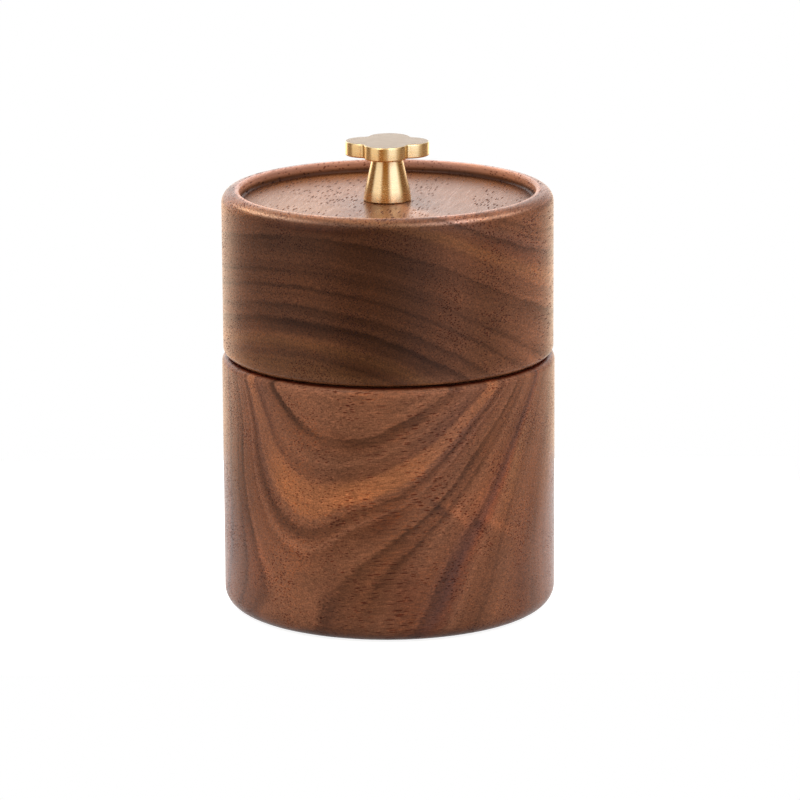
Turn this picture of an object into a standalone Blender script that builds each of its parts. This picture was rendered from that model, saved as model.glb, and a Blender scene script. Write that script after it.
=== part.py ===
# Toothpick dispenser: a turned walnut jar with a lift-off lid and a four-lobed brass knob.
# Metres, +Z up, origin at the centre of the face that the jar stands on.
# Run with: blender --background --python part.py
import math

import bmesh
import bpy
from mathutils import Vector

# Walnut body, turned from one block
BODY_RADIUS = 0.0350
BODY_HEIGHT = 0.0540
BODY_WALL = 0.0080
FLOOR_THICKNESS = 0.0070
WELL_FILLET = 0.0030
BASE_ROUND = 0.0038
SHOULDER_ROUND = 0.0015
FOOT_WIDTH = 0.0060
FOOT_RECESS = 0.0010
FOOT_RECESS_ROUND = 0.0005

# Spigot of the body, which the lid slides over
SPIGOT_WALL = 0.0040
SPIGOT_HEIGHT = 0.0060
SPIGOT_ROUND = 0.0008

# Walnut lid, turned from a second block
LID_SETBACK = 0.00025
LID_HEIGHT = 0.0347
LID_ROOF = 0.0060
LID_WALL = 0.0078
SKIRT_ROUND = 0.0015
SOCKET_HEADROOM = 0.0006
SOCKET_LEAD = 0.0006
CEILING_FILLET = 0.0030
RIM_WIDTH = 0.0038
RIM_ROUND = 0.0027
RIM_INNER_ROUND = 0.0007
RECESS_DEPTH = 0.0025
RECESS_FILLET = 0.0007
COUNTERBORE_DEPTH = 0.0020

# Clearances between the pieces
LID_SEAT_GAP = 0.0003
SPIGOT_CLEARANCE = 0.0002
METAL_SEAT_GAP = 0.0001
THREAD_CLEARANCE = 0.0001
TENON_CLEARANCE = 0.00005
SCREW_HOLE_CLEARANCE = 0.00025
COUNTERBORE_CLEARANCE = 0.0008

# Brass stem of the knob
STEM_HEIGHT = 0.0094
STEM_FOOT_RADIUS = 0.00502
STEM_FOOT_HEIGHT = 0.0016
STEM_FOOT_TAPER = 0.00022
STEM_FLARE_HEIGHT = 0.0015
STEM_FLARE_STEP = 0.00052
STEM_NECK_RADIUS = 0.00300
STEM_FOOT_ROUND = 0.00020
STEM_BORE_DEPTH = 0.0058
TENON_RADIUS = 0.0020
TENON_HEIGHT = 0.0018

# Brass plate of the knob, four lobes round a centre
PLATE_LOBE_RADIUS = 0.0045
PLATE_LOBE_OFFSET = 0.00430
PLATE_NOTCH_RADIUS = 0.0008
PLATE_THICKNESS = 0.0030
PLATE_EDGE_ROUND = 0.00035
PLATE_TURN_DEGREES = -4.8

# M4 x 10 pan-head screw and its washer
SCREW_RADIUS = 0.0020
SCREW_LENGTH = 0.0100
SCREW_TIP_CHAMFER = 0.0005
HEAD_RADIUS = 0.0040
HEAD_HEIGHT = 0.0026
HEAD_CROWN = 0.0015
CROSS_WIDTH = 0.0011
CROSS_SPAN = 0.0044
CROSS_DEPTH = 0.0016
CROSS_TIP_SHARE = 0.45
WASHER_RADIUS = 0.0045
WASHER_HOLE_CLEARANCE = 0.00015
WASHER_THICKNESS = 0.0008

# How finely the round shapes are cut
WOOD_STEPS = 72
KNOB_STEPS = 48
SCREW_STEPS = 24
QUARTER_STEPS = 5
RIM_STEPS = 8
SMALL_STEPS = 3
LOBE_STEPS = 14
NOTCH_STEPS = 4
CUT_OVERRUN = 0.0010
WELD_DISTANCE = 0.000001
SHARP_ANGLE = math.radians(30)

# Sizes and heights that follow from those above
WELL_RADIUS = BODY_RADIUS - BODY_WALL
SPIGOT_RADIUS = WELL_RADIUS + SPIGOT_WALL
SPIGOT_TOP = BODY_HEIGHT + SPIGOT_HEIGHT
FOOT_RECESS_RADIUS = BODY_RADIUS - BASE_ROUND - FOOT_WIDTH

LID_RADIUS = BODY_RADIUS - LID_SETBACK
LID_BASE = BODY_HEIGHT + LID_SEAT_GAP
RIM_TOP = LID_BASE + LID_HEIGHT
RECESS_FLOOR = RIM_TOP - RECESS_DEPTH
CEILING = RECESS_FLOOR - LID_ROOF
COUNTERBORE_TOP = CEILING + COUNTERBORE_DEPTH
SOCKET_RADIUS = SPIGOT_RADIUS + SPIGOT_CLEARANCE
SOCKET_TOP = SPIGOT_TOP + SOCKET_HEADROOM
LID_CAVITY_RADIUS = LID_RADIUS - LID_WALL
RECESS_RADIUS = LID_RADIUS - RIM_WIDTH
SCREW_HOLE_RADIUS = SCREW_RADIUS + SCREW_HOLE_CLEARANCE
COUNTERBORE_RADIUS = WASHER_RADIUS + COUNTERBORE_CLEARANCE

STEM_BASE = RECESS_FLOOR + METAL_SEAT_GAP
STEM_TOP = STEM_BASE + STEM_HEIGHT
STEM_BORE_RADIUS = SCREW_RADIUS + THREAD_CLEARANCE
PLATE_BASE = STEM_TOP + METAL_SEAT_GAP
TENON_BORE_RADIUS = TENON_RADIUS + TENON_CLEARANCE
TENON_BORE_DEPTH = TENON_HEIGHT

WASHER_TOP = COUNTERBORE_TOP - METAL_SEAT_GAP
WASHER_BASE = WASHER_TOP - WASHER_THICKNESS
WASHER_HOLE_RADIUS = SCREW_RADIUS + WASHER_HOLE_CLEARANCE
HEAD_TOP = WASHER_BASE - METAL_SEAT_GAP
HEAD_BASE = HEAD_TOP - HEAD_HEIGHT
SCREW_TIP = HEAD_TOP + SCREW_LENGTH


def clear_scene():
    """Removes what the startup file holds."""
    for startup_object in list(bpy.data.objects):
        bpy.data.objects.remove(startup_object, do_unlink=True)


def finish_material(name, colour, roughness, metallic):
    """A Principled material of one colour."""
    material = bpy.data.materials.new(name)
    material.use_nodes = True
    shader = material.node_tree.nodes["Principled BSDF"]
    shader.inputs["Base Color"].default_value = (*colour, 1.0)
    shader.inputs["Roughness"].default_value = roughness
    shader.inputs["Metallic"].default_value = metallic
    return material


def arc(centre, radius, start, end, steps=QUARTER_STEPS):
    """Points of an arc in the plane of a profile, from one angle in degrees to another."""
    points = []
    for step in range(steps + 1):
        angle = math.radians(start + (end - start) * step / steps)
        across = centre[0] + radius * math.cos(angle)
        along = centre[1] + radius * math.sin(angle)
        points.append((across, along))
    return points


def place_mesh(name, sketch, material):
    """Turns a bmesh into a smooth-shaded object of that name."""
    bmesh.ops.remove_doubles(sketch, verts=sketch.verts, dist=WELD_DISTANCE)
    bmesh.ops.recalc_face_normals(sketch, faces=sketch.faces)
    mesh = bpy.data.meshes.new(name)
    sketch.to_mesh(mesh)
    sketch.free()
    mesh.shade_smooth()
    mesh.set_sharp_from_angle(angle=SHARP_ANGLE)
    if material is not None:
        mesh.materials.append(material)
    placed = bpy.data.objects.new(name, mesh)
    bpy.context.scene.collection.objects.link(placed)
    return placed


def turned(name, profile, steps, material, bored):
    """Spins a (radius, height) profile about Z. A bored piece has a closed profile clear of the axis."""
    sketch = bmesh.new()
    verts = [sketch.verts.new((radius, 0, height)) for radius, height in profile]
    edges = [sketch.edges.new(pair) for pair in zip(verts, verts[1:])]
    if bored:
        edges.append(sketch.edges.new((verts[-1], verts[0])))
    bmesh.ops.spin(
        sketch,
        geom=verts + edges,
        cent=(0, 0, 0),
        axis=(0, 0, 1),
        angle=math.tau,
        steps=steps,
        use_merge=True,
    )
    return place_mesh(name, sketch, material)


def lofted(name, rings, material):
    """Closes a stack of rings of equal count into one solid, with a flat face at each end."""
    sketch = bmesh.new()
    loops = [[sketch.verts.new(point) for point in ring] for ring in rings]
    for lower, upper in zip(loops, loops[1:]):
        for here in range(len(lower)):
            ahead = (here + 1) % len(lower)
            sketch.faces.new((lower[here], lower[ahead], upper[ahead], upper[here]))
    sketch.faces.new(list(reversed(loops[0])))
    sketch.faces.new(loops[-1])
    return place_mesh(name, sketch, material)


def cut_away(target, cutter):
    """Takes the cutter's shape out of the target and hides the cutter."""
    cutter.hide_render = True
    cutter.display_type = "WIRE"
    modifier = target.modifiers.new(cutter.name, "BOOLEAN")
    modifier.operation = "DIFFERENCE"
    modifier.solver = "EXACT"
    modifier.object = cutter


def make_body(walnut):
    """The lower half: a deep well, a rounded base on a foot ring, and the spigot for the lid."""
    shoulder = (BODY_RADIUS - SHOULDER_ROUND, BODY_HEIGHT - SHOULDER_ROUND)
    base = (BODY_RADIUS - BASE_ROUND, BASE_ROUND)
    lip_out = (SPIGOT_RADIUS - SPIGOT_ROUND, SPIGOT_TOP - SPIGOT_ROUND)
    lip_in = (WELL_RADIUS + SPIGOT_ROUND, SPIGOT_TOP - SPIGOT_ROUND)
    well_corner = (WELL_RADIUS - WELL_FILLET, FLOOR_THICKNESS + WELL_FILLET)
    foot_corner = (FOOT_RECESS_RADIUS - FOOT_RECESS_ROUND, FOOT_RECESS - FOOT_RECESS_ROUND)
    profile = [(0, FLOOR_THICKNESS)]
    profile += arc(well_corner, WELL_FILLET, -90, 0)
    profile += arc(lip_in, SPIGOT_ROUND, 180, 90, SMALL_STEPS)
    profile += arc(lip_out, SPIGOT_ROUND, 90, 0, SMALL_STEPS)
    profile += [(SPIGOT_RADIUS, BODY_HEIGHT)]
    profile += arc(shoulder, SHOULDER_ROUND, 90, 0)
    profile += arc(base, BASE_ROUND, 0, -90)
    profile += [(FOOT_RECESS_RADIUS, 0)]
    profile += arc(foot_corner, FOOT_RECESS_ROUND, 0, 90, SMALL_STEPS)
    profile += [(0, FOOT_RECESS)]
    return turned("body", profile, WOOD_STEPS, walnut, bored=False)


def make_lid(walnut):
    """The upper half: a skirt over the spigot, a roof, and a dished top inside a rounded rim."""
    rim_out = (LID_RADIUS - RIM_ROUND, RIM_TOP - RIM_ROUND)
    rim_in = (RECESS_RADIUS + RIM_INNER_ROUND, RIM_TOP - RIM_INNER_ROUND)
    recess_corner = (RECESS_RADIUS - RECESS_FILLET, RECESS_FLOOR + RECESS_FILLET)
    ceiling_corner = (LID_CAVITY_RADIUS - CEILING_FILLET, CEILING - CEILING_FILLET)
    skirt = (LID_RADIUS - SKIRT_ROUND, LID_BASE + SKIRT_ROUND)
    profile = [(SCREW_HOLE_RADIUS, COUNTERBORE_TOP), (SCREW_HOLE_RADIUS, RECESS_FLOOR)]
    profile += arc(recess_corner, RECESS_FILLET, -90, 0, SMALL_STEPS)
    profile += arc(rim_in, RIM_INNER_ROUND, 180, 90, SMALL_STEPS)
    profile += arc(rim_out, RIM_ROUND, 90, 0, RIM_STEPS)
    profile += arc(skirt, SKIRT_ROUND, 0, -90)
    profile += [(SOCKET_RADIUS + SOCKET_LEAD, LID_BASE), (SOCKET_RADIUS, LID_BASE + SOCKET_LEAD)]
    profile += [(SOCKET_RADIUS, SOCKET_TOP), (LID_CAVITY_RADIUS, SOCKET_TOP)]
    profile += arc(ceiling_corner, CEILING_FILLET, 0, 90)
    profile += [(COUNTERBORE_RADIUS, CEILING), (COUNTERBORE_RADIUS, COUNTERBORE_TOP)]
    return turned("lid", profile, WOOD_STEPS, walnut, bored=True)


def make_knob_stem(brass):
    """The cone under the knob's plate, with a tenon on top and a threaded blind bore below."""
    flare_base = STEM_BASE + STEM_FOOT_HEIGHT
    profile = [(0, STEM_BASE + STEM_BORE_DEPTH), (STEM_BORE_RADIUS, STEM_BASE + STEM_BORE_DEPTH)]
    profile += [(STEM_BORE_RADIUS, STEM_BASE)]
    foot = (STEM_FOOT_RADIUS - STEM_FOOT_ROUND, STEM_BASE + STEM_FOOT_ROUND)
    profile += arc(foot, STEM_FOOT_ROUND, -90, 0, SMALL_STEPS)
    profile += [(STEM_FOOT_RADIUS - STEM_FOOT_TAPER, flare_base)]
    profile += [(STEM_FOOT_RADIUS - STEM_FLARE_STEP, flare_base + STEM_FLARE_HEIGHT)]
    profile += [(STEM_NECK_RADIUS, STEM_TOP), (TENON_RADIUS, STEM_TOP)]
    profile += [(TENON_RADIUS, STEM_TOP + TENON_HEIGHT), (0, STEM_TOP + TENON_HEIGHT)]
    return turned("knob_stem", profile, KNOB_STEPS, brass, bored=False)


def plate_outline(shrink, height):
    """The four-lobed outline drawn in by shrink: lobes as arcs, joined by arcs in the notches."""
    lobe = PLATE_LOBE_RADIUS - shrink
    notch = PLATE_NOTCH_RADIUS + shrink
    reach = PLATE_LOBE_RADIUS + PLATE_NOTCH_RADIUS
    offset = PLATE_LOBE_OFFSET
    notch_place = (offset + math.sqrt(2 * reach**2 - offset**2)) / 2
    meet = math.degrees(math.atan2(notch_place, notch_place - offset))
    quarter = arc((offset, 0), lobe, -meet, meet, LOBE_STEPS)
    quarter += arc((notch_place, notch_place), notch, 180 + meet, 270 - meet, NOTCH_STEPS)[1:-1]
    ring = []
    for turn in range(4):
        cosine, sine = math.cos(turn * math.pi / 2), math.sin(turn * math.pi / 2)
        for x, y in quarter:
            ring.append(Vector((x * cosine - y * sine, x * sine + y * cosine, height)))
    return ring


def make_knob_plate(brass):
    """The grip: a thick plate of four lobes with eased edges and a blind bore for the tenon."""
    lower_edge = (PLATE_EDGE_ROUND, PLATE_EDGE_ROUND)
    upper_edge = (PLATE_EDGE_ROUND, PLATE_THICKNESS - PLATE_EDGE_ROUND)
    lower = arc(lower_edge, PLATE_EDGE_ROUND, 270, 180, SMALL_STEPS)
    upper = arc(upper_edge, PLATE_EDGE_ROUND, 180, 90, SMALL_STEPS)
    rings = [plate_outline(shrink, height) for shrink, height in lower + upper]
    plate = lofted("knob_plate", rings, brass)
    plate.location = (0, 0, PLATE_BASE)
    plate.rotation_euler = (0, 0, math.radians(PLATE_TURN_DEGREES))
    bore_top = PLATE_BASE + TENON_BORE_DEPTH
    bore_low = PLATE_BASE - CUT_OVERRUN
    bore = [(0, bore_top), (TENON_BORE_RADIUS, bore_top), (TENON_BORE_RADIUS, bore_low), (0, bore_low)]
    cut_away(plate, turned("tenon_bore", bore, KNOB_STEPS, None, bored=False))
    return plate


def cross_bar(name, turn):
    """One tapered bar of the driver's cross, from below the head up to the depth of the cross."""
    low = HEAD_BASE - CUT_OVERRUN
    high = HEAD_BASE + CROSS_DEPTH
    rings = []
    for height, share in ((low, 1.0), (HEAD_BASE, 1.0), (high, CROSS_TIP_SHARE)):
        half_span = CROSS_SPAN / 2 * share
        half_width = CROSS_WIDTH / 2 * share
        corners = ((-1, -1), (1, -1), (1, 1), (-1, 1))
        rings.append([(x * half_span, y * half_width, height) for x, y in corners])
    bar = lofted(name, rings, None)
    bar.rotation_euler = (0, 0, turn)
    return bar


def make_knob_screw(steel):
    """The machine screw that holds the knob: head inside the lid, tip in the stem."""
    crown = (HEAD_RADIUS - HEAD_CROWN, HEAD_BASE + HEAD_CROWN)
    profile = [(0, SCREW_TIP), (SCREW_RADIUS - SCREW_TIP_CHAMFER, SCREW_TIP)]
    profile += [(SCREW_RADIUS, SCREW_TIP - SCREW_TIP_CHAMFER), (SCREW_RADIUS, HEAD_TOP)]
    profile += [(HEAD_RADIUS, HEAD_TOP)]
    profile += arc(crown, HEAD_CROWN, 0, -90)
    profile += [(0, HEAD_BASE)]
    screw = turned("knob_screw", profile, SCREW_STEPS, steel, bored=False)
    cut_away(screw, cross_bar("cross_bar_x", 0))
    cut_away(screw, cross_bar("cross_bar_y", math.pi / 2))
    return screw


def make_knob_washer(steel):
    """The plain washer that spreads the screw's pull over the wood."""
    profile = [(WASHER_HOLE_RADIUS, WASHER_BASE), (WASHER_RADIUS, WASHER_BASE)]
    profile += [(WASHER_RADIUS, WASHER_TOP), (WASHER_HOLE_RADIUS, WASHER_TOP)]
    return turned("knob_washer", profile, SCREW_STEPS, steel, bored=True)


def main():
    """Makes every piece and hangs the lid's pieces on one empty at the lid's seat."""
    clear_scene()
    body_walnut = finish_material("walnut_body", (0.165, 0.068, 0.036), 0.42, 0.0)
    lid_walnut = finish_material("walnut_lid", (0.120, 0.056, 0.032), 0.42, 0.0)
    brass = finish_material("brushed_brass", (0.74, 0.52, 0.24), 0.28, 1.0)
    steel = finish_material("zinc_steel", (0.62, 0.62, 0.60), 0.32, 1.0)

    make_body(body_walnut)
    lifted = [make_lid(lid_walnut), make_knob_stem(brass), make_knob_plate(brass)]
    lifted += [make_knob_screw(steel), make_knob_washer(steel)]

    lid_lift = bpy.data.objects.new("lid_lift", None)
    lid_lift.location = (0, 0, LID_BASE)
    bpy.context.scene.collection.objects.link(lid_lift)
    bpy.context.view_layer.update()
    for piece in lifted:
        piece.parent = lid_lift
        piece.matrix_parent_inverse = lid_lift.matrix_world.inverted()


main()
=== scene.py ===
# Looks for the turned walnut toothpick jar: fine turned pieces, walnut, brass and steel, light and camera.
# Metres, +Z up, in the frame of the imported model.
import math

import bmesh
import bpy
from mathutils import Matrix, Vector


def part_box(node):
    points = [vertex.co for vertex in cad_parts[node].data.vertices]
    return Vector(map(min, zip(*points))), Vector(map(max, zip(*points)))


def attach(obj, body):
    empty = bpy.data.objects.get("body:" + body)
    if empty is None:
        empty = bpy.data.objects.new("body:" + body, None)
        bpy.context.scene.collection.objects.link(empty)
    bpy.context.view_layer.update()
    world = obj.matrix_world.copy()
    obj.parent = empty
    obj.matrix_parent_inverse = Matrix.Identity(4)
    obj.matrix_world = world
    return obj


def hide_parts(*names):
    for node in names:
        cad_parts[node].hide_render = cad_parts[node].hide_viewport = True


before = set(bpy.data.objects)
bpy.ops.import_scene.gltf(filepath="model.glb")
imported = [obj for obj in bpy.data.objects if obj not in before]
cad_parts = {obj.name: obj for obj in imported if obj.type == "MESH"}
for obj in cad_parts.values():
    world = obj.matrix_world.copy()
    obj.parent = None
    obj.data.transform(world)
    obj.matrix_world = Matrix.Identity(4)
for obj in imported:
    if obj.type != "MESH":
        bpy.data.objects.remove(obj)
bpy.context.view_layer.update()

MM = 0.001

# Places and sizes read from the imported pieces
_, body_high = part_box("body")
lid_low, lid_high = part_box("lid")
stem_low, stem_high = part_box("knob_stem")
plate_low, plate_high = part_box("knob_plate")
_, washer_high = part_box("knob_washer")

# Body: the sizes that its box doesn't give
BODY_RADIUS = body_high.x
SPIGOT_TOP = body_high.z
BODY_HEIGHT = SPIGOT_TOP - 6.0 * MM
BODY_WALL = 8.0 * MM
FLOOR_THICKNESS = 7.0 * MM
WELL_FILLET = 3.0 * MM
BASE_ROUND = 3.8 * MM
SHOULDER_ROUND = 1.5 * MM
FOOT_WIDTH = 6.0 * MM
FOOT_RECESS = 1.0 * MM
FOOT_RECESS_ROUND = 0.5 * MM
SPIGOT_WALL = 4.0 * MM
SPIGOT_ROUND = 0.8 * MM
WELL_RADIUS = BODY_RADIUS - BODY_WALL
SPIGOT_RADIUS = WELL_RADIUS + SPIGOT_WALL
FOOT_RECESS_RADIUS = BODY_RADIUS - BASE_ROUND - FOOT_WIDTH

# Lid
LID_RADIUS = lid_high.x
LID_BASE = lid_low.z
RIM_TOP = lid_high.z
SKIRT_ROUND = 1.5 * MM
SOCKET_RADIUS = SPIGOT_RADIUS + 0.2 * MM
SOCKET_TOP = SPIGOT_TOP + 0.6 * MM
SOCKET_LEAD = 0.6 * MM
LID_CAVITY_RADIUS = LID_RADIUS - 7.8 * MM
CEILING_FILLET = 3.0 * MM
RIM_ROUND = 2.7 * MM
RIM_INNER_ROUND = 0.7 * MM
RECESS_RADIUS = LID_RADIUS - 3.8 * MM
RECESS_FLOOR = RIM_TOP - 2.5 * MM
RECESS_FILLET = 0.7 * MM
CEILING = RECESS_FLOOR - 6.0 * MM
COUNTERBORE_TOP = CEILING + 2.0 * MM
COUNTERBORE_RADIUS = washer_high.x + 0.8 * MM
SCREW_HOLE_RADIUS = 2.25 * MM

# Stem and plate of the knob
STEM_BASE = stem_low.z
STEM_FOOT_RADIUS = stem_high.x
STEM_FOOT_HEIGHT = 1.6 * MM
STEM_FOOT_TAPER = 0.22 * MM
STEM_FOOT_ROUND = 0.2 * MM
STEM_FLARE_HEIGHT = 1.5 * MM
STEM_FLARE_STEP = 0.52 * MM
STEM_NECK_RADIUS = 3.0 * MM
STEM_BORE_RADIUS = 2.1 * MM
STEM_BORE_DEPTH = 5.8 * MM
PLATE_BASE = plate_low.z
PLATE_TOP = plate_high.z
PLATE_LOBE_RADIUS = 4.5 * MM
PLATE_LOBE_OFFSET = 4.3 * MM
PLATE_NOTCH_RADIUS = 0.8 * MM
PLATE_EDGE_ROUND = 0.35 * MM
PLATE_TURN_DEGREES = -4.8

# How finely the round shapes are cut
WOOD_TURNS = 288
METAL_TURNS = 160
ARC_STEP_DEGREES = 7.5
LONGEST_RUN = 1.5 * MM
FLARE_STEPS = 10
SHARP_ANGLE = math.radians(30)
WELD = 1e-7

# Camera, fitted to the outline in the photograph
EYE = Vector((0.0, -1.0396, 0.2942))
LENS = 227.91
SENSOR = 36.0
YAW = 0.0023
PITCH = 0.2367
ROLL = -0.0055


def tint(red, green, blue):
    """A colour written as it shows on a screen, 0 to 255, in the linear values that shaders take."""
    linear = []
    for level in (red, green, blue):
        share = level / 255
        linear.append(share / 12.92 if share <= 0.04045 else ((share + 0.055) / 1.055) ** 2.4)
    return (*linear, 1.0)


def arc(centre, radius, start, end):
    """Points of an arc in the plane of a profile, from one angle in degrees to another."""
    steps = max(3, round(abs(end - start) / ARC_STEP_DEGREES))
    points = []
    for step in range(steps + 1):
        angle = math.radians(start + (end - start) * step / steps)
        points.append((centre[0] + radius * math.cos(angle), centre[1] + radius * math.sin(angle)))
    return points


def runs(profile, closed):
    """Cuts the long straight stretches of a profile, so that shading stays true beside its rounds."""
    points = []
    ends = profile[1:] + profile[:1] if closed else profile[1:]
    for here, ahead in zip(profile, ends):
        gap = math.dist(here, ahead)
        pieces = max(1, math.ceil(gap / LONGEST_RUN))
        for piece in range(pieces):
            share = piece / pieces
            points.append(tuple(a + (b - a) * share for a, b in zip(here, ahead)))
    if not closed:
        points.append(profile[-1])
    return points


def place_mesh(name, sketch, material):
    """Turns a bmesh into a smooth-shaded object of that name."""
    bmesh.ops.remove_doubles(sketch, verts=sketch.verts, dist=WELD)
    bmesh.ops.recalc_face_normals(sketch, faces=sketch.faces)
    mesh = bpy.data.meshes.new(name)
    sketch.to_mesh(mesh)
    sketch.free()
    mesh.shade_smooth()
    mesh.set_sharp_from_angle(angle=SHARP_ANGLE)
    mesh.materials.append(material)
    placed = bpy.data.objects.new(name, mesh)
    bpy.context.scene.collection.objects.link(placed)
    return placed


def turned(name, profile, turns, material, closed):
    """Spins a (radius, height) profile about Z. A closed profile stays clear of the axis."""
    sketch = bmesh.new()
    verts = [sketch.verts.new((radius, 0, height)) for radius, height in runs(profile, closed)]
    edges = [sketch.edges.new(pair) for pair in zip(verts, verts[1:])]
    if closed:
        edges.append(sketch.edges.new((verts[-1], verts[0])))
    bmesh.ops.spin(
        sketch, geom=verts + edges, cent=(0, 0, 0), axis=(0, 0, 1),
        angle=math.tau, steps=turns, use_merge=True,
    )
    return place_mesh(name, sketch, material)


def ringed(name, rings, material):
    """Closes a stack of rings of equal count into one solid, with a flat face at each end."""
    sketch = bmesh.new()
    loops = [[sketch.verts.new(point) for point in ring] for ring in rings]
    for lower, upper in zip(loops, loops[1:]):
        for here in range(len(lower)):
            ahead = (here + 1) % len(lower)
            sketch.faces.new((lower[here], lower[ahead], upper[ahead], upper[here]))
    sketch.faces.new(list(reversed(loops[0])))
    sketch.faces.new(loops[-1])
    return place_mesh(name, sketch, material)


def dress(piece, body, node):
    """The piece stands for a CAD node and moves with its body."""
    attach(piece, body)
    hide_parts(node)


class Tree:
    """Short calls for building one node tree."""

    def __init__(self, tree):
        self.tree = tree

    def feed(self, socket, value):
        if isinstance(value, bpy.types.NodeSocket):
            self.tree.links.new(value, socket)
        else:
            socket.default_value = value

    def add(self, kind, inputs, **settings):
        node = self.tree.nodes.new(kind)
        for key, value in settings.items():
            setattr(node, key, value)
        for key, value in inputs.items():
            self.feed(node.inputs[key], value)
        return node

    def join(self, x=0.0, y=0.0, z=0.0):
        return self.add("ShaderNodeCombineXYZ", {0: x, 1: y, 2: z}).outputs[0]

    def split(self, vector):
        return self.add("ShaderNodeSeparateXYZ", {0: vector}).outputs

    def math(self, operation, *values):
        return self.add("ShaderNodeMath", dict(enumerate(values)), operation=operation).outputs[0]

    def product(self, first, *others):
        for value in others:
            first = self.math("MULTIPLY", first, value)
        return first

    def vector(self, operation, *values, output="Vector"):
        node = self.add("ShaderNodeVectorMath", dict(enumerate(values)), operation=operation)
        return node.outputs[output]

    def dot(self, first, second):
        return self.vector("DOT_PRODUCT", first, second, output="Value")

    def scale(self, vector, factor):
        return self.add("ShaderNodeVectorMath", {0: vector, "Scale": factor}, operation="SCALE").outputs[0]

    def range(self, value, low, high, to_low=0.0, to_high=1.0, smooth=False):
        kind = "SMOOTHSTEP" if smooth else "LINEAR"
        inputs = {0: value, 1: low, 2: high, 3: to_low, 4: to_high}
        return self.add("ShaderNodeMapRange", inputs, interpolation_type=kind, clamp=True).outputs[0]

    def noise(self, place, scale, detail=2.0, roughness=0.5):
        inputs = {"Vector": place, "Scale": scale, "Detail": detail, "Roughness": roughness}
        return self.add("ShaderNodeTexNoise", inputs).outputs[0]

    def cells(self, place):
        """Distance to the middle of the nearest cell, with cells one unit across."""
        return self.add("ShaderNodeTexVoronoi", {"Vector": place, "Scale": 1.0}).outputs["Distance"]

    def blend(self, mode, factor, first, second):
        inputs = {0: factor, 6: first, 7: second}
        return self.add("ShaderNodeMix", inputs, data_type="RGBA", blend_type=mode).outputs[2]

    def ramp(self, value, stops):
        node = self.add("ShaderNodeValToRGB", {0: value})
        elements = node.color_ramp.elements
        while len(elements) < len(stops):
            elements.new(1.0)
        for element, (position, colour) in zip(elements, stops):
            element.position = position
            element.color = colour
        return node.outputs[0]


class Material(Tree):
    """A Principled material under construction."""

    def __init__(self, name, roughness, metallic=0.0):
        self.material = bpy.data.materials.new(name)
        self.material.use_nodes = True
        super().__init__(self.material.node_tree)
        self.shader = self.tree.nodes["Principled BSDF"]
        self.set(Roughness=roughness, Metallic=metallic)
        coordinates = self.tree.nodes.new("ShaderNodeTexCoord")
        self.place = self.scale(coordinates.outputs["Object"], 1 / MM)

    def set(self, **inputs):
        for key, value in inputs.items():
            self.feed(self.shader.inputs[key.replace("_", " ")], value)

    def bump(self, height, depth, strength=1.0):
        """Depth in millimetres of a height of one."""
        inputs = {"Height": height, "Distance": depth * MM, "Strength": strength}
        return self.add("ShaderNodeBump", inputs).outputs[0]


def around(radius, along, height):
    """The point in millimetres at an arc length from the front, counted to the right, and a height."""
    angle = along / radius
    return (radius * math.sin(angle), -radius * math.cos(angle), height)


# Walnut tones, as they show on a screen
PLUM = tint(107, 66, 52)
BROWN = tint(116, 71, 48)
TAN = tint(126, 80, 56)
RUSSET = tint(122, 70, 47)
ORANGE = tint(156, 97, 62)
BUFF = tint(140, 90, 64)
COFFEE = tint(98, 60, 40)
HAZEL = tint(112, 69, 46)
HONEY = tint(130, 83, 52)
EARTH = tint(106, 68, 50)
GOLD_FLECK = tint(255, 222, 178)
PORE = tint(160, 98, 68)

# What multiplies the wood's colour in and round the dish, with painted light on the dish's wall, and painted
# shade near that wall, at its foot and in the groove between the halves
DISH_TINT = (1.26, 1.38, 1.3, 1.0)
DISH_EDGE_SHADE = (0.62, 0.54, 0.45, 1.0)
DISH_PORE = tint(140, 94, 72)
WALL_PAINTED_LIGHT = (2.8, 3.3, 4.6, 1.0)
CORNER_SHADE = (0.42, 0.34, 0.3, 1.0)
GROOVE_SHADE = (0.3, 0.08, 0.05, 1.0)

# How far each fine pattern darkens or lightens the wood, and how calm the dish is
RING_SWING = 0.16
PATCH_SWING = 0.12
STREAK_SWING = 0.2
FLECK_SWING = 0.24
GRIT_SWING = 0.28
DISH_CALM = 0.7

# Length and width in millimetres of the cells that each hold one pore, and how strongly pores show
LONG_PORE = (4.6, 0.42)
SHORT_PORE = (2.2, 0.32)
DISH_PORE_CELL = (3.4, 0.64)
PORE_DEPTH = 0.85
DISH_PORE_SHARE = 0.88

# Finish of the wood: roughness, its fall on streaks, its rise in pores, relief in millimetres and gloss
WOOD_ROUGHNESS = 0.28
PORE_ROUGHNESS = 0.45
WOOD_RELIEF = 0.03
WOOD_GLOSS = 0.09

# Heights and a radius in millimetres, as the wood's nodes use them
DISH_FLOOR = RECESS_FLOOR / MM
DISH_RADIUS = RECESS_RADIUS / MM
SEAT_RADIUS = (BODY_RADIUS - SHOULDER_ROUND) / MM
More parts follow.
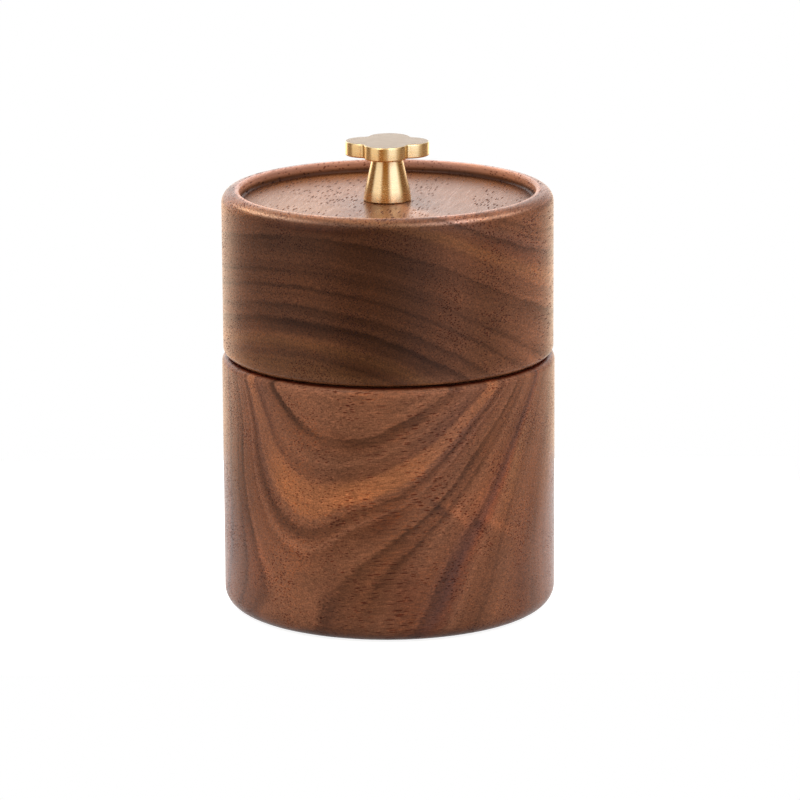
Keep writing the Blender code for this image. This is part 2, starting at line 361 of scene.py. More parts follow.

# The body's block. Swells: arc, height, reach and rise in millimetres. Tones: growth level and colour.
# Lines: growth level, depth and fade. Washes: arc, height, half length, half width, degrees and factor; some
# are painted highlights and painted shade.
# Groove: the heights where the painted shade between the halves starts and is full, and the radius outside
# which it lies. Arcs are counted from the front to the right.
BODY_WOOD = {
    "radius": BODY_RADIUS / MM,
    "middle": (0.0, 0.0, 27.0),
    "slope": (-0.9, -6.4, -0.6),
    "bend": (0.28, -0.28, 0.37),
    "twist": (0.19, -0.85, 0.15),
    "swells": (
        (-31, 8, 9, -0.4), (0, 4, 10, 0.4), (14, 10, 9, 0.4), (28, 12, 10, 0.4),
        (36, 30, 12, -0.3), (27, 45, 12, -0.7), (-38, 30, 12, 1.0), (-20, 24, 9, 0.5),
        (-36, 48, 10, -0.9), (5, 30, 10, 0.3), (-8, 48, 10, 0.5),
    ),
    "span": 30.0,
    "tones": (
        (3.0, BROWN), (8.0, TAN), (9.4, BROWN), (11.4, TAN), (12.6, BROWN), (13.3, TAN), (13.8, RUSSET),
        (14.2, PLUM), (15.2, BROWN), (16.2, TAN), (17.2, BROWN), (18.4, TAN), (19.3, BROWN), (19.5, BUFF),
        (19.7, BROWN), (20.2, BROWN), (20.5, TAN), (20.8, ORANGE), (21.6, ORANGE), (22.1, BROWN),
        (23.2, TAN), (24.2, BROWN), (25.4, TAN), (27.5, TAN),
    ),
    "lines": (
        (8.6, 0.35, 1.2), (12.1, 0.25, 0.6), (14.7, 0.3, 0.9), (16.9, 0.4, 0.5), (17.9, 0.45, 0.7),
        (20.15, 0.35, 0.5), (24.9, 0.6, 1.1),
    ),
    "washes": (
        (16, 46, 12, 4, 42, (0.78, 0.84, 1.05)), (-29, 42, 13, 3.5, 100, (0.66, 0.7, 0.86)),
        (-1, 25.5, 6, 2.2, 38, (0.6, 0.55, 0.55)), (13, 11, 11, 3, 74, (0.78, 0.84, 0.95)),
        (-13, 7, 8, 2.5, 80, (0.7, 0.68, 0.7)), (3, 10, 8, 4, 80, (0.82, 0.74, 0.74)),
        (-20, 12, 9, 7, 90, (1.22, 1.2, 1.15)), (18, 28, 6, 3.5, 50, (1.3, 1.26, 1.2)),
        (14, 27.3, 4, 1.0, -42, (1.5, 1.42, 1.35)), (25, 23, 4.5, 1.1, -28, (1.35, 1.28, 1.2)),
        (10.5, 28.4, 3, 0.8, -42, (0.6, 0.62, 0.7)), (19.5, 24, 3, 1.2, -30, (0.66, 0.7, 0.76)),
        # Painted highlight: the second wash on the next line, a pale band on the shoulder below the line
        # between the halves
        (-12, 37, 8, 3, 5, (0.86, 0.88, 0.9)), (-6, 52.9, 30, 0.6, 0, (1.25, 1.25, 1.25)),
        (-24, 33, 5, 2.5, -60, (1.1, 1.08, 1.0)), (-40, 30, 20, 6, 90, (0.68, 0.62, 0.6)),
        (-31, 13, 6, 3, 90, (1.28, 1.12, 1.0)), (23, 28, 8, 6, 60, (1.28, 1.2, 1.16)),
        (-8, 30.5, 5, 2, 15, (1.22, 1.15, 1.08)),
        (29.5, 35, 12, 1.8, 68, (1.22, 1.3, 1.2)), (31, 10, 9, 3, 90, (0.84, 0.78, 0.74)),
        (-10, 43.6, 5, 1, -20, (0.8, 0.76, 0.74)), (0, 0.2, 300, 1.6, 0, (0.7, 0.62, 0.58)),
    ),
    "end_grain": 0.85,
    "fibre": (0.998, 0.0, 0.07),
    "across": (-0.07, 0.0, 0.998),
    "groove": (BODY_HEIGHT / MM - 0.4, BODY_HEIGHT / MM, SEAT_RADIUS),
}

# The lid's block
LID_WOOD = {
    "radius": LID_RADIUS / MM,
    "middle": (0.0, 0.0, 69.6),
    "slope": (0.92, 0.21, 3.86),
    "bend": (0.13, -0.13, 0.12),
    "twist": (-0.11, -0.04, -0.15),
    "swells": (),
    "span": 22.0,
    "tones": (
        (-11.0, HAZEL), (-8.4, HONEY), (-7.4, HAZEL), (-6.6, HONEY), (-5.8, HAZEL), (-5.2, COFFEE),
        (-4.7, COFFEE), (-4.1, HAZEL), (-3.6, COFFEE), (-3.0, HAZEL), (-2.2, HAZEL), (-1.6, COFFEE),
        (-0.9, HAZEL), (0.0, COFFEE),
        (1.2, HAZEL), (2.4, COFFEE), (3.2, HAZEL), (4.6, HAZEL), (5.6, HONEY), (6.4, HAZEL), (7.5, EARTH),
        (8.4, HAZEL), (9.4, HAZEL), (11.0, COFFEE),
    ),
    "lines": (
        (-7.6, 0.2, 0.4), (-4.6, 0.4, 0.7), (-3.35, 0.34, 0.35), (-2.4, 0.12, 0.2), (-1.5, 0.3, 0.4),
        (-0.8, 0.12, 0.2), (-0.1, 0.25, 0.4), (1.4, 0.15, 0.3), (2.2, 0.1, 0.2), (3.1, 0.4, 0.7),
        (5.0, 0.12, 0.2), (7.3, 0.5, 0.8), (8.9, 0.25, 0.5),
    ),
    "washes": (
        (14, 70, 60, 6, 90, (1.48, 1.48, 1.5)), (-4, 70, 60, 8, 90, (0.84, 0.82, 0.8)),
        (-20, 74.6, 10, 5, 0, (1.36, 1.25, 1.1)), (-20, 66.4, 9, 1, -4, (0.76, 0.72, 0.72)),
        (20, 85.6, 9, 1.2, -8, (1.28, 1.34, 1.36)), (-17, 63.2, 12, 1.4, -4, (1.34, 1.3, 1.22)),
        (-5, 57.5, 7, 2.5, -20, (0.78, 0.76, 0.74)), (33, 60, 10, 5, 0, (1.22, 1.2, 1.2)),
        # Painted highlight: the first wash on the next line, a pale band along the lid's lower round
        (0, 55.7, 60, 0.8, 0, (1.3, 1.36, 1.46)), (30, 79, 14, 4, -22, (0.9, 0.86, 0.9)),
        # Painted highlights: fine pale lines along the front of the rim
        (-27, 88.08, 11, 0.3, 0, (3.8, 5.6, 8.0)), (17, 88.0, 13, 0.3, 0, (3.6, 5.2, 7.4)),
        # Painted shade below the rim's front highlight, then a weaker painted highlight on the rim
        (-15, 86.5, 12, 0.8, 0, (0.66, 0.56, 0.5)), (-4, 88.4, 8, 0.25, 0, (1.3, 1.4, 1.5)),
        # Painted light along the rim's top at the sides and back
        (-92, 88.7, 34, 1.0, 0, (1.45, 1.6, 1.9)), (92, 88.7, 34, 1.0, 0, (1.45, 1.6, 1.9)),
    ),
    "end_grain": 0.46,
    "fibre": (-0.225, -0.974, 0.0),
    "across": (0.0, 0.0, 1.0),
    "groove": (LID_BASE / MM + 0.35, LID_BASE / MM + 0.05, 0.0),
}


class Walnut(Material):
    """Walnut under construction, with its places along the fibre, out from the axis and in the dish."""

    def __init__(self, name, wood):
        super().__init__(name, WOOD_ROUGHNESS)
        self.wood = wood
        self.x, self.y, self.height = self.split(self.place)
        self.radius = self.vector("LENGTH", self.join(self.x, self.y), output="Value")
        deep_way = Vector(wood["fibre"]).cross(Vector(wood["across"]))
        self.along = self.dot(self.place, wood["fibre"])
        self.up = self.dot(self.place, wood["across"])
        self.deep = self.dot(self.place, tuple(deep_way))
        inside = self.range(self.radius, DISH_RADIUS + 0.4, DISH_RADIUS + 1.2, 1.0, 0.0)
        self.dish = self.product(inside, self.range(self.height, DISH_FLOOR - 0.8, DISH_FLOOR - 0.4))

    def stretched(self, length, width):
        """A place for patterns that are that long along the fibre and that wide across it."""
        lengthwise = self.math("DIVIDE", self.along, length)
        return self.join(lengthwise, self.math("DIVIDE", self.up, width), self.math("DIVIDE", self.deep, width))

    def growth(self):
        """Millimetres of growth across the rings: a slope, a bend, swells near the surface and unevenness."""
        offset = self.scale(self.vector("SUBTRACT", self.place, self.wood["middle"]), 0.1)
        x, y, z = self.split(offset)
        slope = self.dot(offset, self.wood["slope"])
        bend = self.dot(self.vector("MULTIPLY", offset, offset), self.wood["bend"])
        twist = self.dot(self.vector("MULTIPLY", offset, self.join(y, z, x)), self.wood["twist"])
        level = self.math("ADD", self.math("ADD", slope, bend), twist)
        for along, height, reach, rise in self.wood["swells"]:
            centre = around(self.wood["radius"], along, height)
            gap = self.vector("DISTANCE", self.place, centre, output="Value")
            share = self.math("DIVIDE", gap, reach)
            fall = self.math("EXPONENT", self.product(share, share, -1.0))
            level = self.math("MULTIPLY_ADD", fall, rise, level)
        wander = self.range(self.noise(self.place, 0.09, 2.0), 0.0, 1.0, -0.3, 0.3)
        feather = self.range(self.noise(self.stretched(3.0, 0.6), 1.0, 3.0, 0.6), 0.0, 1.0, -0.3, 0.3)
        return self.math("ADD", level, self.math("ADD", wander, feather))

    def lines(self, level):
        """Late wood: each line darkens slowly and ends sharply."""
        strength = self.range(self.noise(self.place, 0.07, 2.0), 0.35, 0.65, 0.45, 1.15)
        tone = 1.0
        for mark, depth, fade in self.wood["lines"]:
            rise = self.range(level, mark - fade, mark, smooth=True)
            end = self.range(level, mark, mark + 0.16, 1.0, 0.0)
            shade = self.product(rise, end, strength)
            tone = self.math("MULTIPLY", self.math("MULTIPLY_ADD", shade, -depth, 1.0), tone)
        return tone

    def patterned(self, tone, patterns):
        """The tone with fine patterns, each with its swing, calmer in the dish."""
        for pattern, swing in patterns:
            tone = self.product(tone, self.range(pattern, 0.3, 0.7, 1 - swing, 1 + swing))
        calm = self.product(self.dish, DISH_CALM)
        return self.math("ADD", self.product(tone, self.math("SUBTRACT", 1.0, calm)), calm)

    def stroke(self, arc_place, mark):
        """A soft streak on the outside: one where it is, falling to zero around it."""
        along, height, half_length, half_width, degrees = mark
        cosine = math.cos(math.radians(degrees))
        sine = math.sin(math.radians(degrees))
        right = self.math("SUBTRACT", arc_place, along)
        up = self.math("SUBTRACT", self.height, height)
        lengthwise = self.math("MULTIPLY_ADD", right, cosine, self.math("MULTIPLY", up, sine))
        crosswise = self.math("MULTIPLY_ADD", up, cosine, self.math("MULTIPLY", right, -sine))
        long_share = self.math("DIVIDE", lengthwise, half_length)
        wide_share = self.math("DIVIDE", crosswise, half_width)
        wide_square = self.math("MULTIPLY", wide_share, wide_share)
        spread = self.math("MULTIPLY_ADD", long_share, long_share, wide_square)
        return self.math("EXPONENT", self.math("MULTIPLY", spread, -1.0))

    def washed(self, colour):
        """The colour under soft washes, darker or paler, laid on the outside; some are painted highlights and
        painted shade.
        """
        azimuth = self.math("ARCTAN2", self.x, self.math("MULTIPLY", self.y, -1.0))
        arc_place = self.math("MULTIPLY", azimuth, self.wood["radius"])
        for *mark, wash in self.wood["washes"]:
            colour = self.blend("MULTIPLY", self.stroke(arc_place, mark), colour, (*wash, 1.0))
        return colour

    def pores(self, level):
        """Pores: long thin vessels, met as dashes along the grain, and in the dish as dots in bands."""
        crowd = self.range(self.noise(self.place, 0.13, 2.0), 0.35, 0.65, 0.12, 0.34)
        gap = self.math("SUBTRACT", self.cells(self.stretched(*LONG_PORE)), crowd)
        long_pores = self.range(gap, -0.08, 0.06, 1.0, 0.0, smooth=True)
        short_pores = self.range(self.cells(self.stretched(*SHORT_PORE)), 0.1, 0.3, 0.5, 0.0, smooth=True)
        pores = self.math("MAXIMUM", long_pores, short_pores)
        pores = self.product(pores, self.math("MULTIPLY_ADD", self.dish, -DISH_PORE_SHARE, 1.0))
        bands = self.range(self.noise(self.join(level), 1.3, 1.0), 0.46, 0.54, 0.1, 1.0)
        dots = self.range(self.cells(self.stretched(*DISH_PORE_CELL)), 0.2, 0.34, 1.0, 0.0, smooth=True)
        return self.math("MAXIMUM", pores, self.product(dots, bands, self.dish))

    def ends_and_dish(self, colour):
        """The colour with darker end grain outside, and the dish paler, with painted shade near its wall."""
        normal = self.tree.nodes.new("ShaderNodeTexCoord").outputs["Normal"]
        facing = self.math("ABSOLUTE", self.dot(normal, self.wood["fibre"]))
        depth = self.range(facing, 0.3, 0.95, 1.0, self.wood["end_grain"], smooth=True)
        colour = self.scale(colour, self.math("MAXIMUM", depth, self.dish))
        colour = self.blend("MULTIPLY", self.dish, colour, DISH_TINT)
        # Painted shade: the dish darker towards its wall
        edge = self.range(self.product(self.dish, self.radius), 14.0, 30.0)
        return self.blend("MULTIPLY", edge, colour, DISH_EDGE_SHADE)

    def walls_and_corners(self, colour):
        """The colour with painted light on the dish's wall, painted shade at the wall's foot, and painted shade
        in the groove between the halves.
        """
        # Painted light: the upper part of the dish's wall made paler
        wall = self.range(self.radius, DISH_RADIUS - 0.4, DISH_RADIUS - 0.1)
        wall = self.product(wall, self.range(self.height, DISH_FLOOR + 0.6, DISH_FLOOR + 1.4), self.dish)
        colour = self.blend("MULTIPLY", wall, colour, WALL_PAINTED_LIGHT)
        # Painted shade at the foot of the dish's wall
        corner = self.range(self.radius, DISH_RADIUS - 2.4, DISH_RADIUS - 0.6)
        corner = self.product(corner, self.range(self.height, DISH_FLOOR + 1.2, DISH_FLOOR + 0.2), self.dish)
        colour = self.blend("MULTIPLY", corner, colour, CORNER_SHADE)
        # Painted shade in the groove between the halves
        start, full, inner = self.wood["groove"]
        groove = self.range(self.height, start, full, smooth=True)
        groove = self.product(groove, self.range(self.radius, inner - 0.3, inner))
        return self.blend("MULTIPLY", groove, colour, GROOVE_SHADE)


def walnut(name, wood):
    """Satin walnut: tones and lines by growth, fine patterns, washes, golden flecks, open pores, and painted
    light and shade in and round the dish and between the halves.
    """
    nodes = Walnut(name, wood)
    low = wood["tones"][0][0]
    span = wood["span"]
    folded = nodes.math("PINGPONG", nodes.math("SUBTRACT", nodes.growth(), low), span)
    level = nodes.math("ADD", folded, low)
    stops = [((mark - low) / span, colour) for mark, colour in wood["tones"]]
    colour = nodes.ramp(nodes.math("DIVIDE", nodes.math("SUBTRACT", level, low), span), stops)

    rings = nodes.noise(nodes.join(level, nodes.math("DIVIDE", nodes.along, 60.0)), 2.4, 3.0, 0.6)
    patches = nodes.noise(nodes.place, 0.06, 3.0, 0.6)
    streaks = nodes.noise(nodes.stretched(8.0, 0.45), 1.0, 3.0, 0.6)
    flecks = nodes.noise(nodes.stretched(1.4, 0.3), 1.0, 2.0, 0.6)
    grit = nodes.noise(nodes.place, 3.4, 2.0, 0.6)
    patterns = (
        (rings, RING_SWING), (patches, PATCH_SWING), (streaks, STREAK_SWING),
        (flecks, FLECK_SWING), (grit, GRIT_SWING),
    )
    colour = nodes.scale(colour, nodes.patterned(nodes.lines(level), patterns))
    colour = nodes.washed(colour)

    # Golden flecks where the fibre turns up
    glow = nodes.product(nodes.range(flecks, 0.5, 0.75), nodes.range(patches, 0.45, 0.65))
    glow = nodes.product(glow, nodes.math("SUBTRACT", 1.0, nodes.dish))
    colour = nodes.blend("MULTIPLY", 1.0, colour, nodes.blend("MIX", glow, tint(255, 255, 255), GOLD_FLECK))

    pores = nodes.pores(level)
    pore_shade = nodes.blend("MIX", nodes.dish, PORE, DISH_PORE)
    colour = nodes.blend("MULTIPLY", nodes.product(pores, PORE_DEPTH), colour, pore_shade)
    colour = nodes.walls_and_corners(nodes.ends_and_dish(colour))

    gloss = nodes.range(streaks, 0.3, 0.7, WOOD_ROUGHNESS + 0.06, WOOD_ROUGHNESS - 0.05)
    gloss = nodes.math("MULTIPLY_ADD", pores, PORE_ROUGHNESS, gloss)
    relief = nodes.math("SUBTRACT", nodes.product(nodes.math("ADD", streaks, flecks), 0.4), pores)
    nodes.set(Base_Color=colour, Roughness=gloss, Normal=nodes.bump(relief, WOOD_RELIEF))
    nodes.set(Specular_IOR_Level=WOOD_GLOSS)
    return nodes.material


def brushed_brass(name):
    """Brass turned and brushed around its axis, with a paler satin face on top."""
    nodes = Material(name, 0.24, metallic=1.0)
    x, y, z = nodes.split(nodes.place)
    brushing = nodes.noise(nodes.join(nodes.product(x, 0.08), nodes.product(y, 0.08), z), 7.0, 3.0, 0.6)
    cloud = nodes.noise(nodes.place, 0.5, 3.0)
    fine = nodes.noise(nodes.place, 6.0, 2.0)
    normal = nodes.tree.nodes.new("ShaderNodeTexCoord").outputs["Normal"]
    face = nodes.range(nodes.dot(normal, (0.0, 0.0, 1.0)), 0.75, 0.97, smooth=True)
    side = nodes.blend("MIX", nodes.range(brushing, 0.3, 0.7), tint(224, 190, 132), tint(238, 208, 154))
    top = nodes.blend("MIX", nodes.range(fine, 0.3, 0.7), tint(165, 152, 137), tint(175, 161, 147))
    nodes.set(Base_Color=nodes.blend("MIX", face, side, top))
    gloss = nodes.range(brushing, 0.3, 0.7, 0.22, 0.3)
    gloss = nodes.math("ADD", gloss, nodes.range(cloud, 0.3, 0.7, -0.02, 0.02))
    gloss = nodes.math("MULTIPLY_ADD", face, 0.2, gloss)
    relief = nodes.math("MULTIPLY_ADD", fine, 0.3, brushing)
    nodes.set(Roughness=gloss, Normal=nodes.bump(relief, 0.0015), Anisotropic=0.8, Anisotropic_Rotation=0.25)
    ring_way = nodes.add("ShaderNodeTangent", {}, direction_type="RADIAL", axis="Z").outputs[0]
    nodes.set(Tangent=nodes.blend("MIX", face, ring_way, (1.0, 0.0, 0.0, 1.0)))
    return nodes.material


def zinc_steel(name):
    """Bright zinc plate with a faint spangle."""
    nodes = Material(name, 0.32, metallic=1.0)
    spangle = nodes.noise(nodes.place, 2.2, 3.0, 0.6)
    fine = nodes.noise(nodes.place, 14.0, 3.0, 0.6)
    nodes.set(Base_Color=nodes.blend("MIX", spangle, tint(190, 192, 196), tint(212, 210, 204)))
    nodes.set(Roughness=nodes.range(spangle, 0.3, 0.7, 0.26, 0.4), Normal=nodes.bump(fine, 0.006))
    return nodes.material


def make_body(material):
    """The lower half: a deep well, a rounded base on a foot ring, and the spigot for the lid."""
    shoulder = (BODY_RADIUS - SHOULDER_ROUND, BODY_HEIGHT - SHOULDER_ROUND)
    base = (BODY_RADIUS - BASE_ROUND, BASE_ROUND)
    lip_out = (SPIGOT_RADIUS - SPIGOT_ROUND, SPIGOT_TOP - SPIGOT_ROUND)
    lip_in = (WELL_RADIUS + SPIGOT_ROUND, SPIGOT_TOP - SPIGOT_ROUND)
    well_corner = (WELL_RADIUS - WELL_FILLET, FLOOR_THICKNESS + WELL_FILLET)
    foot_corner = (FOOT_RECESS_RADIUS - FOOT_RECESS_ROUND, FOOT_RECESS - FOOT_RECESS_ROUND)
    profile = [(0, FLOOR_THICKNESS)]
    profile += arc(well_corner, WELL_FILLET, -90, 0)
    profile += arc(lip_in, SPIGOT_ROUND, 180, 90)
    profile += arc(lip_out, SPIGOT_ROUND, 90, 0)
    profile += [(SPIGOT_RADIUS, BODY_HEIGHT)]
    profile += arc(shoulder, SHOULDER_ROUND, 90, 0)
    profile += arc(base, BASE_ROUND, 0, -90)
    profile += [(FOOT_RECESS_RADIUS, 0)]
    profile += arc(foot_corner, FOOT_RECESS_ROUND, 0, 90)
    profile += [(0, FOOT_RECESS)]
    dress(turned("turned_body", profile, WOOD_TURNS, material, closed=False), "jar", "body")


def make_lid(material):
    """The upper half: a skirt over the spigot, a roof, and a dished top inside a rounded rim."""
    rim_out = (LID_RADIUS - RIM_ROUND, RIM_TOP - RIM_ROUND)
    rim_in = (RECESS_RADIUS + RIM_INNER_ROUND, RIM_TOP - RIM_INNER_ROUND)
    recess_corner = (RECESS_RADIUS - RECESS_FILLET, RECESS_FLOOR + RECESS_FILLET)
    ceiling_corner = (LID_CAVITY_RADIUS - CEILING_FILLET, CEILING - CEILING_FILLET)
    skirt = (LID_RADIUS - SKIRT_ROUND, LID_BASE + SKIRT_ROUND)
    profile = [(SCREW_HOLE_RADIUS, COUNTERBORE_TOP), (SCREW_HOLE_RADIUS, RECESS_FLOOR)]
    profile += arc(recess_corner, RECESS_FILLET, -90, 0)
    profile += arc(rim_in, RIM_INNER_ROUND, 180, 90)
    profile += arc(rim_out, RIM_ROUND, 90, 0)
    profile += arc(skirt, SKIRT_ROUND, 0, -90)
    profile += [(SOCKET_RADIUS + SOCKET_LEAD, LID_BASE), (SOCKET_RADIUS, LID_BASE + SOCKET_LEAD)]
    profile += [(SOCKET_RADIUS, SOCKET_TOP), (LID_CAVITY_RADIUS, SOCKET_TOP)]
    profile += arc(ceiling_corner, CEILING_FILLET, 0, 90)
    profile += [(COUNTERBORE_RADIUS, CEILING), (COUNTERBORE_RADIUS, COUNTERBORE_TOP)]
    dress(turned("turned_lid", profile, WOOD_TURNS, material, closed=True), "cover", "lid")


def make_stem(material):
    """The cone under the plate, flared to a short foot of slight taper, with a blind bore for the screw."""
    flare_base = STEM_BASE + STEM_FOOT_HEIGHT
    flare_top = flare_base + STEM_FLARE_HEIGHT
    foot = (STEM_FOOT_RADIUS - STEM_FOOT_ROUND, STEM_BASE + STEM_FOOT_ROUND)
    profile = [(0, STEM_BASE + STEM_BORE_DEPTH), (STEM_BORE_RADIUS, STEM_BASE + STEM_BORE_DEPTH)]
    profile += [(STEM_BORE_RADIUS, STEM_BASE)]
    profile += arc(foot, STEM_FOOT_ROUND, -90, 0)
    flare_radius = STEM_FOOT_RADIUS - STEM_FLARE_STEP
    flare_start = STEM_FOOT_TAPER / STEM_FOOT_HEIGHT * STEM_FLARE_HEIGHT
    flare_end = (flare_radius - STEM_NECK_RADIUS) / (PLATE_BASE - flare_top) * STEM_FLARE_HEIGHT
    fall = STEM_FLARE_STEP - STEM_FOOT_TAPER
    for step in range(FLARE_STEPS + 1):
        share = step / FLARE_STEPS
        ease = STEM_FOOT_TAPER + share * flare_start
        ease += share ** 2 * (3 * fall - 2 * flare_start - flare_end)
        ease += share ** 3 * (flare_start + flare_end - 2 * fall)
        profile.append((STEM_FOOT_RADIUS - ease, flare_base + STEM_FLARE_HEIGHT * share))
    profile += [(STEM_NECK_RADIUS, PLATE_BASE), (0, PLATE_BASE)]
    stem = turned("turned_stem", profile, METAL_TURNS, material, closed=False)
    dress(stem, "cover", "knob_stem")


def plate_outline(shrink, height):
    """The four-lobed outline drawn in by shrink: lobes as arcs, joined by arcs in the notches."""
    lobe = PLATE_LOBE_RADIUS - shrink
    notch = PLATE_NOTCH_RADIUS + shrink
    reach = PLATE_LOBE_RADIUS + PLATE_NOTCH_RADIUS
    offset = PLATE_LOBE_OFFSET
    notch_place = (offset + math.sqrt(2 * reach**2 - offset**2)) / 2
    meet = math.degrees(math.atan2(notch_place, notch_place - offset))
    quarter = arc((offset, 0), lobe, -meet, meet)
    quarter += arc((notch_place, notch_place), notch, 180 + meet, 270 - meet)[1:-1]
    turn = math.radians(PLATE_TURN_DEGREES)
    ring = []
    for quarter_turn in range(4):
        spin = Matrix.Rotation(turn + quarter_turn * math.pi / 2, 3, "Z")
        ring += [spin @ Vector((x, y, height)) for x, y in quarter]
    return ring


def make_plate(material):
    """The grip: a thick plate of four lobes with eased edges."""
    lower = arc((PLATE_EDGE_ROUND, PLATE_BASE + PLATE_EDGE_ROUND), PLATE_EDGE_ROUND, 270, 180)
    upper = arc((PLATE_EDGE_ROUND, PLATE_TOP - PLATE_EDGE_ROUND), PLATE_EDGE_ROUND, 180, 90)
    rings = [plate_outline(shrink, height) for shrink, height in lower + upper]
    dress(ringed("lobed_plate", rings, material), "cover", "knob_plate")


# The two soft lamps, in metres and degrees. Azimuth is counted from the camera's side to the right
LAMP_WIDTH = 0.66
LAMP_HEIGHT = 0.9
LAMP_DISTANCE = 1.0
LAMP_ELEVATION = 20
KEY_AZIMUTH = 40
KEY_RADIANCE = 1.0
FILL_AZIMUTH = -50
FILL_RADIANCE = 0.75


def softbox(name, azimuth, radiance):
    """A soft lamp that faces the jar."""
    lamp = bpy.data.lights.new(name, "AREA")
    lamp.shape = "RECTANGLE"
    lamp.size = LAMP_WIDTH
    lamp.size_y = LAMP_HEIGHT
    lamp.energy = radiance * math.pi * LAMP_WIDTH * LAMP_HEIGHT
    turn = math.radians(azimuth)
    rise = math.radians(LAMP_ELEVATION)
    away = Vector((math.sin(turn) * math.cos(rise), -math.cos(turn) * math.cos(rise), math.sin(rise)))
    aim = Vector((0, 0, BODY_HEIGHT))
    placed = bpy.data.objects.new(name, lamp)
    placed.location = aim + away * LAMP_DISTANCE
    placed.rotation_euler = (-away).to_track_quat("-Z", "Y").to_euler()
    placed.visible_glossy = False
    bpy.context.scene.collection.objects.link(placed)


def seen_by(nodes):
    """One for rays from the camera, a gloss or a glass and zero for light that spreads, then the camera's."""
    path = nodes.tree.nodes.new("ShaderNodeLightPath").outputs
    seen = nodes.math("MAXIMUM", path["Is Camera Ray"], path["Is Glossy Ray"])
    return nodes.math("MAXIMUM", seen, path["Is Transmission Ray"]), path["Is Camera Ray"]


# What a gloss sees of the studio: white cards and dark gaps, by azimuth from the camera's side to the right
WEDGE = (0.38, 0.2, 0.07, 1.0)
GAP = (0.16, 0.08, 0.03, 1.0)
CARD_WHITE = (1.0, 1.0, 1.0, 1.0)
CARD_BACK = (2.0, 2.0, 2.0, 1.0)
CARD_LEFT = (1.3, 1.36, 1.6, 1.0)
CARD_RIGHT = (1.7, 1.9, 2.6, 1.0)
ROOM = (
    (-180, CARD_BACK), (-140, CARD_BACK), (-126, GAP), (-90, GAP), (-76, CARD_LEFT), (-40, CARD_LEFT),
    (-28, WEDGE), (4, WEDGE), (24, CARD_RIGHT), (62, CARD_RIGHT), (74, CARD_WHITE), (88, GAP), (126, GAP),
    (150, CARD_WHITE), (168, CARD_BACK), (180, CARD_BACK),
)
LOW_WEDGE = (0.6, 0.5, 0.36, 1.0)
LOW_GAP = (0.36, 0.28, 0.22, 1.0)
LOW_BACK = (2.3, 1.85, 1.4, 1.0)
LOW_LEFT = (1.06, 0.95, 0.82, 1.0)
LOW_RIGHT = (1.3, 1.4, 1.6, 1.0)
LOW_ROOM = (
    (-180, LOW_BACK), (-140, LOW_BACK), (-118, LOW_GAP), (-92, LOW_GAP), (-80, LOW_LEFT), (-44, LOW_LEFT),
    (-34, WEDGE), (-14, WEDGE), (-4, LOW_WEDGE), (6, LOW_WEDGE), (20, LOW_RIGHT), (52, LOW_RIGHT),
    (66, LOW_WEDGE), (92, LOW_GAP), (122, LOW_GAP), (160, LOW_BACK), (180, LOW_BACK),
)

# A bright strip high on either side: its colour, the heights where it starts and ends, and its azimuths
STRIP = (7.0, 6.6, 6.2, 1.0)
STRIP_START = (0.7, 0.76)
STRIP_END = (0.94, 0.88)
STRIP_NEAR = (0.15, 0.5)
STRIP_FAR = (1.4, 1.0)

# How strongly the room lights what isn't glossy, from the camera's side and from behind
FRONT_LIGHT = 0.58
BACK_LIGHT = 6.1

# The floor, a hair under the jar's foot, and its glow for the camera and for gloss
FLOOR_LEVEL = -0.02 * MM
FLOOR_SIDE = 0.095
FLOOR_FRONT = -0.055
FLOOR_BACK = 0.12
FLOOR_GLOW = 0.86


def make_world():
    """White behind the jar, cards and gaps for reflections, and soft light that grows towards the back."""
    world = bpy.data.worlds.new("studio")
    world.use_nodes = True
    bpy.context.scene.world = world
    nodes = Tree(world.node_tree)
    background = world.node_tree.nodes["Background"]
    direction = nodes.tree.nodes.new("ShaderNodeTexCoord").outputs["Generated"]
    right, away, up = nodes.split(direction)
    azimuth = nodes.math("ARCTAN2", right, nodes.math("MULTIPLY", away, -1.0))
    turn = nodes.range(azimuth, -math.pi, math.pi)
    high = nodes.ramp(turn, [((degrees + 180) / 360, colour) for degrees, colour in ROOM])
    low = nodes.ramp(turn, [((degrees + 180) / 360, colour) for degrees, colour in LOW_ROOM])
    mirrored = nodes.blend("MIX", nodes.range(up, -0.1, 0.08), low, high)
    mirrored = nodes.blend("MIX", nodes.range(up, 0.45, 0.75), mirrored, CARD_WHITE)
    aside = nodes.math("ABSOLUTE", azimuth)
    strip = nodes.product(nodes.range(up, *STRIP_START), nodes.range(up, *STRIP_END))
    strip = nodes.product(strip, nodes.range(aside, *STRIP_NEAR), nodes.range(aside, *STRIP_FAR))
    mirrored = nodes.blend("MIX", strip, mirrored, STRIP)
    behind = nodes.range(away, -1.0, 1.0)
    spread = nodes.range(nodes.math("POWER", behind, 2.0), 0.0, 1.0, FRONT_LIGHT, BACK_LIGHT)
    seen, camera = seen_by(nodes)
    shown = nodes.blend("MIX", camera, mirrored, CARD_WHITE)
    glow = nodes.blend("MIX", seen, nodes.scale((1.0, 1.0, 1.0), spread), shown)
    nodes.feed(background.inputs["Color"], glow)


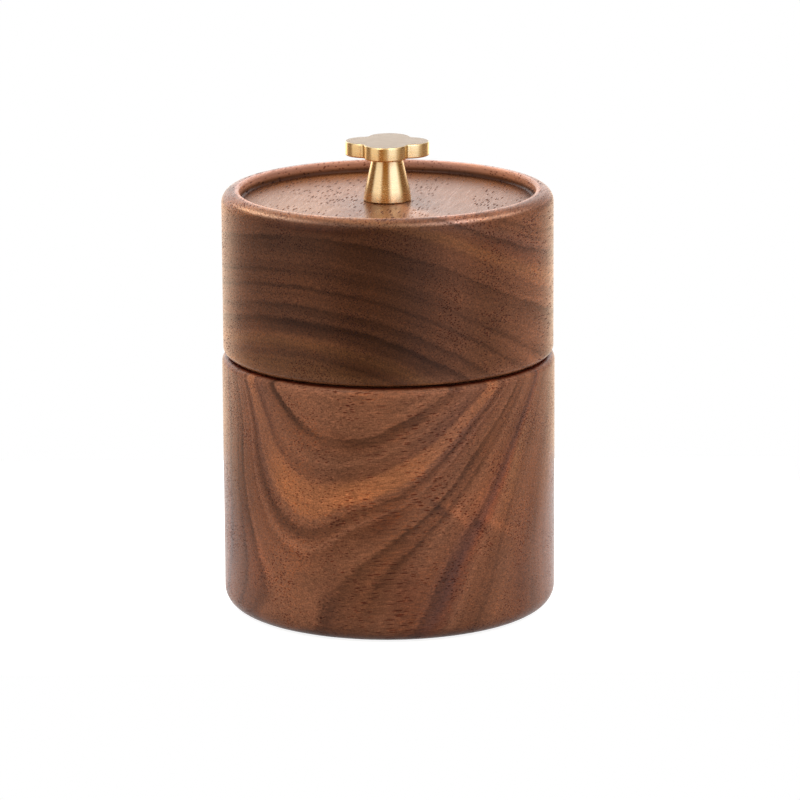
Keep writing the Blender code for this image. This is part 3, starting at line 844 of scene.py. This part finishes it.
def make_floor():
    """A pale sheet that shows white and keeps the jar's shadow."""
    material = bpy.data.materials.new("floor_paper")
    material.use_nodes = True
    nodes = Tree(material.node_tree)
    shader = material.node_tree.nodes["Principled BSDF"]
    seen, _ = seen_by(nodes)
    grain = nodes.noise(nodes.tree.nodes.new("ShaderNodeTexCoord").outputs["Object"], 400.0)
    paper = nodes.blend("MIX", grain, tint(150, 150, 150), tint(156, 156, 156))
    nodes.feed(shader.inputs["Base Color"], paper)
    shader.inputs["Roughness"].default_value = 0.9
    shader.inputs["Emission Color"].default_value = (1, 1, 1, 1)
    nodes.feed(shader.inputs["Emission Strength"], nodes.math("MULTIPLY", seen, FLOOR_GLOW))
    sketch = bmesh.new()
    corners = (
        (-FLOOR_SIDE, FLOOR_FRONT), (FLOOR_SIDE, FLOOR_FRONT),
        (FLOOR_SIDE, FLOOR_BACK), (-FLOOR_SIDE, FLOOR_BACK),
    )
    sketch.faces.new([sketch.verts.new((across, back, FLOOR_LEVEL)) for across, back in corners])
    floor = place_mesh("floor", sketch, material)


def make_camera():
    """The photograph's viewpoint."""
    forward = Vector((math.sin(YAW) * math.cos(PITCH), math.cos(YAW) * math.cos(PITCH), -math.sin(PITCH)))
    right = Vector((math.cos(YAW), -math.sin(YAW), 0))
    up = right.cross(forward)
    rolled_right = math.cos(ROLL) * right + math.sin(ROLL) * up
    rolled_up = math.cos(ROLL) * up - math.sin(ROLL) * right
    turn = Matrix((rolled_right, rolled_up, -forward)).transposed()
    data = bpy.data.cameras.new("camera")
    data.lens = LENS
    data.sensor_width = SENSOR
    placed = bpy.data.objects.new("camera", data)
    placed.matrix_world = Matrix.Translation(EYE) @ turn.to_4x4()
    bpy.context.scene.collection.objects.link(placed)
    bpy.context.scene.camera = placed


def main():
    """Makes every piece, the stage, the light and the camera."""
    bpy.context.scene.view_settings.view_transform = "Standard"
    brass = brushed_brass("brushed_brass")
    steel = zinc_steel("zinc_steel")
    make_body(walnut("walnut_body", BODY_WOOD))
    make_lid(walnut("walnut_lid", LID_WOOD))
    make_stem(brass)
    make_plate(brass)
    for name in ("knob_screw", "knob_washer"):
        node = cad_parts[name]
        for index in range(len(node.material_slots)):
            node.material_slots[index].material = steel
    make_world()
    make_floor()
    softbox("key_light", KEY_AZIMUTH, KEY_RADIANCE)
    softbox("fill_light", FILL_AZIMUTH, FILL_RADIANCE)
    make_camera()


main()
